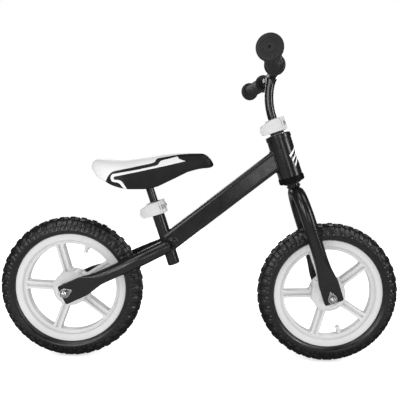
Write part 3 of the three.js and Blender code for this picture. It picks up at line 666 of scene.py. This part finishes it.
def stay_weld(side):
    """Weld metal on the main tube's side round the stay's end: a low mound and its rippled edge."""
    centre, above, half_length, half_height, height, sunk = 235, 1.5, 13, 10, 4.5, 0.5

    def ring(reach, out):
        return np.array([stay_point(centre + half_length * reach * math.cos(turn),
                                    side * (MAIN_WIDTH / 2 + out),
                                    above + half_height * reach * math.sin(turn))
                         for turn in full_turn(40)])

    rings = [ring(math.cos(turn), height * math.sin(turn) - sunk)
             for turn in np.linspace(0, 1.5, 9)]
    return merged(stitched(rings, caps=True), weld_bead(ring(1, 0), 1.5))


def fork_leg_shape(side):
    """Up from the dropout, then over in a quarter ellipse to the crown."""
    straight, offset, inward, climb = 160, 45, 34, 66
    stations = np.concatenate([[row[0] for row in LEG_ROWS[:4]], np.arange(0, straight, 2.5)])
    y, forward, across, thick, square = eased(LEG_ROWS, stations, plain_until=28, blur=14)
    centres = [(b, side * a, c) for a, b, c in zip(y, forward, stations)]
    for turn in np.linspace(0, math.pi / 2, 20):
        centres.append((1, side * (offset - inward * (1 - math.cos(turn))),
                        straight + climb * math.sin(turn)))
    centres += [(1, side * out, straight + climb) for out in (5.5, 0.05)]
    round_part = np.full(len(centres) - len(stations), float(LEG_RADIUS))
    across, thick = np.concatenate([across, round_part]), np.concatenate([thick, round_part])
    square = np.concatenate([square, np.ones(len(round_part))])
    return lofted(centres, (1, 0, 0), across, thick, square)


def decal_stripes():
    """Three slanting white bars on the right front of the head tube."""
    stripes = []
    thick, sunk, height, top, step, slant, count = 0.1, 0.15, 4.6, 316, 10.5, 15, 18
    for k in range(3):
        turn = np.radians(np.linspace(-16 - 5 * k, -74 + 7 * k, count))
        base = top - step * k + np.linspace(0, -slant, count)
        edges = []
        for out, raised in ((thick, 0), (thick, height), (-sunk, height), (-sunk, 0)):
            edges.append(round_points(HEAD_RADIUS + out, turn, base + raised))
        stripes.append(stitched(list(np.stack(edges, axis=1)), caps=True))
    return merged(*stripes)


def add_frame():
    tube_shape, low_seam, high_seam = main_tube_pieces()
    add_piece("rectangular_main_tube", tube_shape, BIKE, PAINT, "frame", ["main_tube"])
    seams = merged(weld_bead(low_seam, 1.5), weld_bead(high_seam, 2.3),
                   *map(stay_weld, SIDES.values()))
    add_piece("main_tube_welds", seams, BIKE, PAINT, "frame")
    for name, side in SIDES.items():
        add_piece(f"{name}_rear_stay", stay_shape(side), BIKE, PAINT, "frame", [f"{name}_stay"])
    head = pipe(23, HEAD_RADIUS, 261.3, 341.7, 96, 0.5)
    add_piece("round_head_tube", head, STEER, PAINT, "frame", ["head_tube"])
    add_piece("head_tube_stripes", decal_stripes(), STEER, DECAL, "frame")
    seat = pipe(TUBE_BORE, TUBE_RADIUS, 2.3, 136, 72, 0.4)
    add_piece("round_seat_tube", seat, SEAT, PAINT, "frame", ["seat_tube"])
    plug = lathe([(0, 0), (11.6, 0), (12.7, 1), (12.7, 2), (10.5, 2), (10.5, 12), (0, 12)], 72, 0.5)
    add_piece("seat_tube_end_plug", plug, SEAT, DARK_PLASTIC, "frame", ["seat_tube_plug"])


# --- headset and fork


def add_headset():
    lower = lathe([
        (20.8, 249.3), (25.2, 249.3), (26.85, 251), (26.85, 261), (22.7, 261), (22.7, 268),
        (20.2, 268), (20.2, 260.5), (14, 260.5), (14, 257.4), (19, 257), (20.8, 255.2),
    ], 96, 0.7)
    add_piece("lower_cup", lower, STEER, CUP_BLACK, "frame", ["lower_headset_cup"])
    upper = lathe([
        (20.2, 335), (22.7, 335), (22.7, 342), (26.2, 342), (26.2, 350.6), (24.6, 352.3),
        (20.8, 352.3), (20.8, 348.1), (19, 346.3), (14, 345.9), (14, 342.8), (20.2, 342.8),
    ], 96, 0.7)
    add_piece("upper_cup", upper, STEER, PAINT, "frame", ["upper_headset_cup"])
    nut = pipe(13, 14.5, 353.6, 357, 60, 0.4)
    add_piece("lock_nut", nut, STEER, DARK_PLASTIC, "fork", ["headset_lock_nut"])
    race = lathe([
        (13, 245.3), (15.5, 245.3), (18.6, 247.3), (18.6, 249.6), (16, 252.3), (13, 252.3),
    ], 72, 0.5)
    add_piece("lower_race", race, STEER, PAINT, "fork", ["crown_race"])


def add_fork():
    steerer = pipe(TUBE_BORE, TUBE_RADIUS, 213, 383.5, 72, 0.4)
    add_piece("steerer_tube", steerer, STEER, PAINT, "fork", ["fork_steerer"])
    crown_weld = weld_bead(round_points(13.2, full_turn(72), 240.2), 1.4)
    add_piece("crown_weld", crown_weld, STEER, PAINT, "fork")
    for name, side in SIDES.items():
        add_piece(f"{name}_fork_blade", fork_leg_shape(side), STEER, PAINT, "fork",
                  [f"{name}_fork_leg"])


# --- quick-release clamps


def collar_shape():
    """A split ring with two ears, open at the front."""
    bore, half_gap, ear_root, ear_end, ear_side = 13, 1.5, 10.9, 20, 9.5
    spot = math.degrees(math.acos(ear_root / CLAMP_OUTER))
    gap = math.degrees(math.asin(half_gap / bore))
    outline = [(ear_end, half_gap), (ear_end, ear_side), (ear_root, ear_side)]
    outline += arc(CLAMP_OUTER, spot, 360 - spot, 60)
    outline += [(ear_root, -ear_side), (ear_end, -ear_side), (ear_end, -half_gap)]
    outline += arc(bore, -gap, gap - 360, 60)
    return extruded(outline, 0, CLAMP_HEIGHT, 0.9, 3)


def bezier(points, count):
    a, b, c = np.array(points, float)
    t = np.linspace(0, 1, count)[:, None]
    return (1 - t) ** 2 * a + 2 * t * (1 - t) * b + t**2 * c


def ribbon(line, half_thick):
    """The outline of a strip along a line, with a round end at the line's start."""
    along = unit(np.gradient(line, axis=0))
    across = np.column_stack((-along[:, 1], along[:, 0])) * half_thick
    turns = np.linspace(0, math.pi, 9)[1:-1, None]
    round_end = line[0] + across[0] * np.cos(turns) - along[0] * half_thick * np.sin(turns)
    return np.concatenate([line - across, (line + across)[::-1], round_end])


def lever_shape():
    """A curved arm that wraps the collar, lower at its free end, on two knuckles. The bolt's
    eye turns between the knuckles, so only two tabs of the arm come near the pin."""
    pin_x, pin_y, end, half_thick = 16.3, -14.8, -34, 2.25
    line = np.concatenate([
        bezier([(end + 2.3, -9.6), (-17, -20.6), (0, -20.3)], 24),
        bezier([(0, -20.3), (pin_x - 4.5, -20), (pin_x + 0.5, pin_y - 1.5)], 16)[1:],
    ])
    reach = np.hypot(line[:, 0] - pin_x, line[:, 1] - pin_y)
    outline = ribbon(line[reach > 6.6], half_thick)
    near_end = np.array([end, end + 1.5, end + 4, end + 7])
    low = np.interp(outline[:, 0], near_end, [5.5, 2.8, 1.0, 0.5])
    top = np.interp(outline[:, 0], [*near_end, -9, 0], [14.5, 17.0, 19.2, 20.8, 26.4, 26.8])
    cheek = np.array(arc(6.9, -170, -100, 12) + arc(4.5, -100, -170, 12)) + [pin_x, pin_y]
    shapes = [extruded(outline, low, top, 1.6, 4), extruded(cheek, 0.5, 26.8, 0.6, 3)]
    for low, high in ((0.5, 9.5), (17.8, 26.8)):
        shapes.append(extruded(ribbon(line[reach < 10], half_thick), low, high, 1.2, 3))
        knuckle = pipe(0, 4.6, low, high, 40, 0.6)
        shapes.append(turned_to(knuckle, Matrix.Translation((pin_x, pin_y + 0.5, 0))))
    return merged(*shapes)


def add_clamps():
    for prefix, matrix, bottom, body in (
        ("seat", SEAT, SEAT_CLAMP, "frame"), ("bar", STEER, BAR_CLAMP, "fork"),
    ):
        place = matrix @ Matrix.Translation((0, 0, bottom))
        add_piece(f"{prefix}_split_collar", collar_shape(), place, WHITE_PLASTIC, body,
                  [f"{prefix}_clamp_collar"])
        add_piece(f"{prefix}_quick_release", lever_shape(), place, WHITE_PLASTIC, f"{prefix}_lever",
                  [f"{prefix}_clamp_lever"])


# --- handlebar


def bar_post_path():
    """Straight inside the steerer, then a curve forward and up to the crossbar."""
    up = np.array(STEER_AXIS)
    hub = np.array(FRONT_HUB) / MM
    top = bar_middle()
    straight = [hub + up * height for height in np.linspace(285, 391, 20)]
    return np.concatenate([straight, bezier([hub + up * 392, hub + up * 433, top], 40)])


def bar_middle():
    low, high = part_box("crossbar")
    return np.array([high.x / MM - BAR_RADIUS, 0, (low.z + high.z) / 2 / MM])


def bar_path():
    y = np.linspace(-BAR_HALF, BAR_HALF, 120)
    past = np.abs(y) - BAR_STRAIGHT
    soften = 12  # how gradual the bend is
    swept_back = (np.sqrt(past**2 + soften**2) + past) / 2 * math.tan(BAR_SWEEP)
    centre = bar_middle()
    return np.column_stack((centre[0] - swept_back, y, np.full(len(y), centre[2])))


def grip_shape():
    """From its outer end: a wide round stop, a ribbed body and a smaller inner flange."""
    outline = [(0, 4.2), (2.1, 4.2), (2.5, 0.9), (7.6, 0.7), (8.2, 0), (9.6, 0), (10.2, 1),
               (13.2, 1), (13.8, 0.2), (15, 0.2), (15.8, 0.8), (19.4, 1), (21.0, 1.7), (21.8, 3.2),
               (21.8, 5.5), (20.6, 7.4), (17.6, 9.4), (15.9, 12.2)]
    for start in np.arange(17, 101, 6.0):
        outline += [(15.1, start), (15.1, start + 1.6), (15.7, start + 2.2), (15.7, start + 5.4)]
    outline += [(15.4, 108), (16.2, 111), (19, 113.6), (19.5, 115), (19.5, 118.4), (18.3, 120),
                (11.3, 120), (11.3, 6), (0, 6)]
    return lathe(outline, 96, 0.35)


def add_handlebar():
    path = bar_post_path()
    to_top = np.linalg.norm(path - path[-1], axis=1)
    flare = 1.4 * np.clip(1 - (to_top - 10) / 13, 0, 1) ** 2
    add_piece("curved_bar_post", tube(path, BAR_POST_RADIUS + flare), BIKE, GLOSS,
              "handlebar", ["bar_post"])
    add_piece("swept_crossbar", tube(bar_path(), BAR_RADIUS), BIKE, GLOSS,
              "handlebar", ["crossbar"])
    outer = BAR_HALF + 5.3  # the grips' ends
    reach = (outer - BAR_STRAIGHT) * math.tan(BAR_SWEEP)
    for name, side in SIDES.items():
        end = bar_middle() + [-reach, side * outer, 0]
        inward = Vector((math.sin(BAR_SWEEP), -side * math.cos(BAR_SWEEP), 0))
        turn = Vector((0, 0, 1)).rotation_difference(inward).to_matrix().to_4x4()
        place = BIKE @ Matrix.Translation(end) @ turn
        add_piece(f"{name}_ribbed_grip", grip_shape(), place, GRIP_RUBBER, "handlebar",
                  [f"{name}_grip"])


# --- saddle

TAIL, NOSE = -229, 22
SHELL_ROWS = 110  # rings from tail to nose

# (x, height) along the top and along the skirt's lower edge, and (x, half-width).
SADDLE_TOP = [
    (-229, 405), (-226, 413), (-220, 419.3), (-210, 422.6), (-190, 423.2), (-161, 423.6),
    (-116, 429), (-68, 435.9), (-31, 438.3), (-3.5, 438.8), (6, 436.2), (14, 430.0), (19.5, 422.5),
    (22, 417.6),
]
SADDLE_EDGE = [
    (-229, 404), (-221, 400), (-206, 388), (-185, 379.5), (-172, 373.4), (-150, 367.5),
    (-139, 366.1), (-111, 366.1), (-91, 369.8), (-71, 379), (-46, 392), (-29, 400.5),
    (0, 408.3), (12, 409.6), (18, 411.2), (20.8, 413.2), (22, 416.2),
]
SADDLE_HALF = [
    (-229, 0.4), (-228, 8.5), (-224, 20), (-216, 35), (-205, 49), (-190, 61), (-170, 69.5),
    (-150, 71), (-130, 65), (-110, 57.5), (-90, 49), (-70, 40), (-50, 32.5), (-25, 25.5),
    (0, 20.5), (12, 16.5), (18, 11.5), (21.2, 5.5), (22, 1),
]
# Down one side of a section: how far out, as a share of the half-width, and how high.
SADDLE_SIDE = [
    (0, 0, 1), (0.18, 0.34, 0.99), (0.34, 0.62, 0.945), (0.48, 0.82, 0.85), (0.6, 0.94, 0.70),
    (0.72, 0.995, 0.50), (0.86, 0.99, 0.24), (1, 0.94, 0),
]


def saddle_section(x, inset_top, inset_side, lift, shares):
    """One half-section of the saddle, from the middle of the top to the skirt's edge."""
    top = curve_through(SADDLE_TOP, x)[0, 0] - inset_top
    edge = curve_through(SADDLE_EDGE, x)[0, 0] + lift
    half = max(curve_through(SADDLE_HALF, x)[0, 0] - inset_side, 0.5)
    out, height = curve_through(SADDLE_SIDE, shares).T
    top = max(top, edge + 0.5)
    return out * half, edge + (top - edge) * height


def saddle_layer(inset_top, inset_side, lift, stations, shares):
    """Rings across the saddle, each from the right edge over the top to the left edge."""
    rings = []
    shrink = (NOSE - TAIL - 2 * inset_side) / (NOSE - TAIL)
    for x in stations:
        inner_x = (x - (NOSE + TAIL) / 2) * shrink + (NOSE + TAIL) / 2
        y, z = saddle_section(inner_x, inset_top, inset_side, lift, shares)
        across = np.concatenate([-y[::-1], y[1:]])
        heights = np.concatenate([z[::-1], z[1:]])
        rings.append(np.column_stack((np.full(len(across), inner_x), across, heights)))
    return rings


def saddle_shell(outer, inner, rows=SHELL_ROWS, columns=34):
    """An open shell between two layers, each given by its top inset, side inset and lift."""
    # Closer together near the ends.
    stations = TAIL + (NOSE - TAIL) * (1 - np.cos(np.linspace(0, math.pi, rows))) / 2
    shares = np.linspace(0, 1, columns)
    outside = saddle_layer(*outer, stations, shares)
    inside = saddle_layer(*inner, stations, shares)
    rings = [np.concatenate([a, b[::-1]]) for a, b in zip(outside, inside)]
    return stitched(rings, caps=True)


def panel_values(shape):
    """For each point of the shell: its length from the tail, its way down the side, and 1 if
    it is on the inside."""
    points = shape[0]
    per_ring = len(points) // SHELL_ROWS
    values = []
    for k, (x, _, z) in enumerate(points):
        x = min(max(x, TAIL + 1), NOSE - 1)  # the very ends have no height
        inside = 1.0 if k % per_ring >= per_ring // 2 else 0.0
        values.append((panel_length(x), side_share(x, z), inside))
    return values


def side_share(x, z):
    """Where on the way down its section a side point lies: 0 on top, 1 at the edge."""
    top = curve_through(SADDLE_TOP, x)[0, 0]
    edge = curve_through(SADDLE_EDGE, x)[0, 0]
    shares = np.linspace(0, 1, 200)
    heights = curve_through(SADDLE_SIDE, shares)[:, 1]
    return float(np.interp(-(z - edge) / (top - edge), -heights, shares))


def panel_length(x):
    return (x - TAIL) / (NOSE - TAIL)


def boundary(nodes, along, points):
    """A line of the graphic: its way down the side at each length. points are (x, height)."""
    node = nodes.tree.nodes.new("ShaderNodeFloatCurve")
    curve = node.mapping.curves[0]
    x, z = np.array(points, float).T
    fine = np.unique(np.concatenate([x, np.arange(x[0], x[-1], 5.0)]))
    places = [(panel_length(at), side_share(at, height))
              for at, height in zip(fine, np.interp(fine, x, z))]
    curve.points[0].location, curve.points[1].location = places[0], places[-1]
    for place in places[1:-1]:
        curve.points.new(*place)
    for point in curve.points:
        point.handle_type = "VECTOR"
    node.mapping.update()
    nodes.link(along, node.inputs["Value"])
    return node.outputs["Value"]


def quarter_turn(x, height, radius, way):
    """Points of a quarter circle from its rearmost point to its top (1) or bottom (-1)."""
    return [(x - radius * math.cos(turn), height + way * radius * math.sin(turn))
            for turn in np.linspace(0, math.pi / 2, 7)]


def saddle_vinyl():
    """White vinyl with a black side panel, a white pinstripe in it and a stepped flash."""
    nodes = Nodes("saddle_vinyl")
    split = nodes.tree.nodes.new("ShaderNodeSeparateXYZ")
    nodes.link(nodes.add("Attribute", {}, "Vector", attribute_name="panel"), split.inputs[0])
    along, down, inside = split.outputs

    def below(points):
        return nodes.math("GREATER_THAN", down, boundary(nodes, along, points))

    outer, inner = (-165, 387.4, 8), (-163.8, 387.3, 3.2)  # the stripe's round end
    panel = below([(-188, 372), (-184, 380), (-180, 387.5), (-176, 393.3), (-172, 397.3),
                   (-168, 399.7), (-163, 401.2), (-138, 407), (-98, 417), (-93, 419.5),
                   (-91, 424.5), (-88, 427), (-50, 435), (-30, 437.5), (22, 440)])
    stripe_outer = below(quarter_turn(*outer, 1)
                         + [(-121.5, 404.5), (-92, 411.8), (-86, 414.4), (-84, 419), (-81, 422.5),
                            (-50, 431.5), (-48, 427), (-34, 422.3), (-33, 400)])
    hook_outer = below(quarter_turn(*outer, -1)
                       + [(-160, 379), (-156.5, 377.6), (-153, 374.5), (-147, 364), (-140, 348)])
    stripe_inner = below(quarter_turn(*inner, 1)
                         + [(-121.5, 400.2), (-72.7, 412.2), (-45.6, 419.5), (-34, 422.3),
                            (-33, 400)])
    hook_inner = below(quarter_turn(*inner, -1)
                       + [(-157, 383.8), (-153, 382.6), (-149, 379.2), (-140.5, 364), (-132, 346)])
    stripe = nodes.math("GREATER_THAN", stripe_outer, hook_outer)
    hollow = nodes.math("GREATER_THAN", stripe_inner, hook_inner)
    stripe = nodes.math("GREATER_THAN", stripe, hollow)
    white = nodes.math("MAXIMUM", nodes.math("SUBTRACT", 1.0, panel), stripe)
    white = nodes.math("MULTIPLY", white, nodes.math("LESS_THAN", inside, 0.5))
    tone = nodes.spread(nodes.noise(16, 3.0), 0, 1)
    black = nodes.mix(tone, grey(0.006), grey(0.009))
    pale = nodes.mix(tone, grey(0.55), grey(0.59))
    nodes.set(Base_Color=nodes.mix(white, black, pale), Specular_IOR_Level=0.28,
              Roughness=nodes.spread(nodes.noise(70, 4.0), 0.38, 0.5))
    nodes.bump(nodes.noise(1300, 4.0), 0.025 * MM)
    return nodes.material


def add_saddle():
    shell = saddle_shell((0, 0, 0), (16, 5, 2))
    cover = add_piece("padded_saddle", shell, BIKE, saddle_vinyl(), "saddle", ["saddle_cover"],
                      panel_values(shell))
    add_piece("saddle_base_shell", saddle_shell((17, 6, 4), (20, 9, 4), 60, 20), BIKE,
              DARK_PLASTIC, "saddle", ["saddle_base"])
    post = tube([(0, 0, z) for z in np.linspace(30, 200, 30)], SEAT_POST_RADIUS)
    add_piece("seat_post_tube", post, SEAT, GLOSS, "saddle", ["seat_post"])
    thick, half_length, half_width, corner = 3, 35, 17, 6
    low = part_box("seat_post")[1].z / MM - thick
    x = SEAT_ORIGIN.x / MM + (low - SEAT_ORIGIN.z / MM) * SEAT_AXIS.x / SEAT_AXIS.z
    outline = rounded_rectangle(x, half_length, half_width, corner, 6)
    plate = extruded(outline, low, low + thick, 0.4)
    add_piece("seat_post_plate", plate, BIKE, PAINT, "saddle")


# --- the small CAD parts


def paint_cad_parts():
    """Bearings, spacers, bushes, pins and screws keep their CAD shapes."""
    finishes = {
        "steel": STEEL, "chrome": CHROME, "natural_plastic": NYLON, "black_plastic": DARK_PLASTIC,
        "frame_paint": PAINT, "gloss_paint": GLOSS, "white_plastic": WHITE_PLASTIC,
        "foam_tyre": FOAM, "grip_rubber": GRIP_RUBBER, "saddle_vinyl": DARK_PLASTIC,
    }
    for part in frame["record"]["subparts"]:
        node = frame["nodes"][part["node"]]
        node.data.materials.clear()
        node.data.materials.append(finishes[part["material_slot"]])


# --- studio


def add_area_light(name, place, target, size, power, seen=True):
    light = bpy.data.lights.new(name, "AREA")
    light.shape = "RECTANGLE"
    light.size, light.size_y = size
    light.energy = power
    lamp = new_object(name, light)
    lamp.location = place
    lamp.rotation_euler = (Vector(target) - Vector(place)).to_track_quat("-Z", "Y").to_euler()
    lamp.visible_camera = seen


def add_studio():
    """A round floor, soft lights round the bike, and two lights for what a floor throws up."""
    mesh = bpy.data.meshes.new("floor")
    radius, sides = 1.5, 64
    mesh.from_pydata(round_points(radius, full_turn(sides), 0).tolist(), [], [range(sides)])
    floor = new_object("floor", mesh)
    nodes = Nodes("pale_floor")
    nodes.set(Base_Color=grey(0.9), Roughness=0.9, Emission_Color=grey(1.0),
              Emission_Strength=0.45)
    mesh.materials.append(nodes.material)
    floor.visible_glossy = False
    add_world()
    for name, place, size, power in (
        ("left_softbox", (-1.7, -1.2, 0.9), (0.4, 1.1), 7.6),
        ("right_softbox", (1.8, -1.0, 0.9), (0.3, 1.0), 12.6),
        ("front_left_softbox", (-1.0, -1.9, 0.75), (0.8, 1.1), 14),
        ("front_right_softbox", (0.45, -2.2, 0.5), (0.35, 0.6), 3.6),
        ("back_left_softbox", (-0.7, 2.0, 1.0), (0.5, 1.2), 8),
        ("back_right_softbox", (0.8, 2.0, 1.0), (0.5, 1.2), 8),
    ):
        add_area_light(name, place, (0, 0, 0.3), size, power)
    for name, y, power in (("floor_bounce", -0.75, 3.4), ("back_bounce", 0.9, 3.0)):
        add_area_light(name, (0, y, 0.01), (0, y, 1), (2.0, 1.4), power, seen=False)
    add_sun("overhead_left", (-0.5, -0.5, 1.0), 0.55, 24)
    add_sun("overhead_right", (0.6, -0.4, 1.0), 0.55, 24)
    add_sun("back_fill", (0.0, 1.0, 0.4), 0.3, 90, glossy=False)
    bpy.context.scene.view_settings.view_transform = "Standard"


def add_world():
    """A white backdrop. Its light on the bike is dimmer, and its reflection is dimmer still."""
    world = bpy.data.worlds.new("studio")
    world.use_nodes = True
    tree = world.node_tree
    background = tree.nodes["Background"]
    background.inputs["Color"].default_value = (1, 1, 1, 1)
    ray = tree.nodes.new("ShaderNodeLightPath")
    level = None
    for kind, share in (("Camera", 1.0), ("Diffuse", 0.55), ("Glossy", 0.05)):
        step = tree.nodes.new("ShaderNodeMath")
        step.operation = "MULTIPLY_ADD"
        tree.links.new(ray.outputs[f"Is {kind} Ray"], step.inputs[0])
        step.inputs[1].default_value = share
        step.inputs[2].default_value = 0
        if level:
            tree.links.new(level, step.inputs[2])
        level = step.outputs["Value"]
    tree.links.new(level, background.inputs["Strength"])
    bpy.context.scene.world = world


def add_sun(name, source, strength, spread, glossy=True):
    """A wide soft light, the same everywhere, that comes from one direction."""
    light = bpy.data.lights.new(name, "SUN")
    light.energy = strength
    light.angle = math.radians(spread)
    lamp = new_object(name, light)
    lamp.rotation_euler = Vector(source).to_track_quat("Z", "Y").to_euler()
    lamp.visible_glossy = glossy


def add_camera():
    yaw, pitch, roll = math.radians(0.51), math.radians(-4.61), math.radians(1.51)
    ahead = Vector((math.sin(yaw) * math.cos(pitch), math.cos(yaw) * math.cos(pitch),
                    math.sin(pitch)))
    level = Vector((math.cos(yaw), -math.sin(yaw), 0))
    above = level.cross(ahead)
    right = math.cos(roll) * level + math.sin(roll) * above
    up = -math.sin(roll) * level + math.cos(roll) * above
    camera = bpy.data.cameras.new("camera")
    camera.sensor_width = 36
    camera.lens = 34.47
    camera.shift_x, camera.shift_y = -0.0571, -0.0311
    camera.clip_start = 0.01
    holder = new_object("camera", camera)
    turn = Matrix((right, up, -ahead)).transposed().to_4x4()
    holder.matrix_world = Matrix.Translation((0.0355, -0.7998, 0.4334)) @ turn
    bpy.context.scene.camera = holder


paint_cad_parts()
add_wheels()
add_axles()
add_frame()
add_headset()
add_fork()
add_clamps()
add_handlebar()
add_saddle()
add_studio()
add_camera()
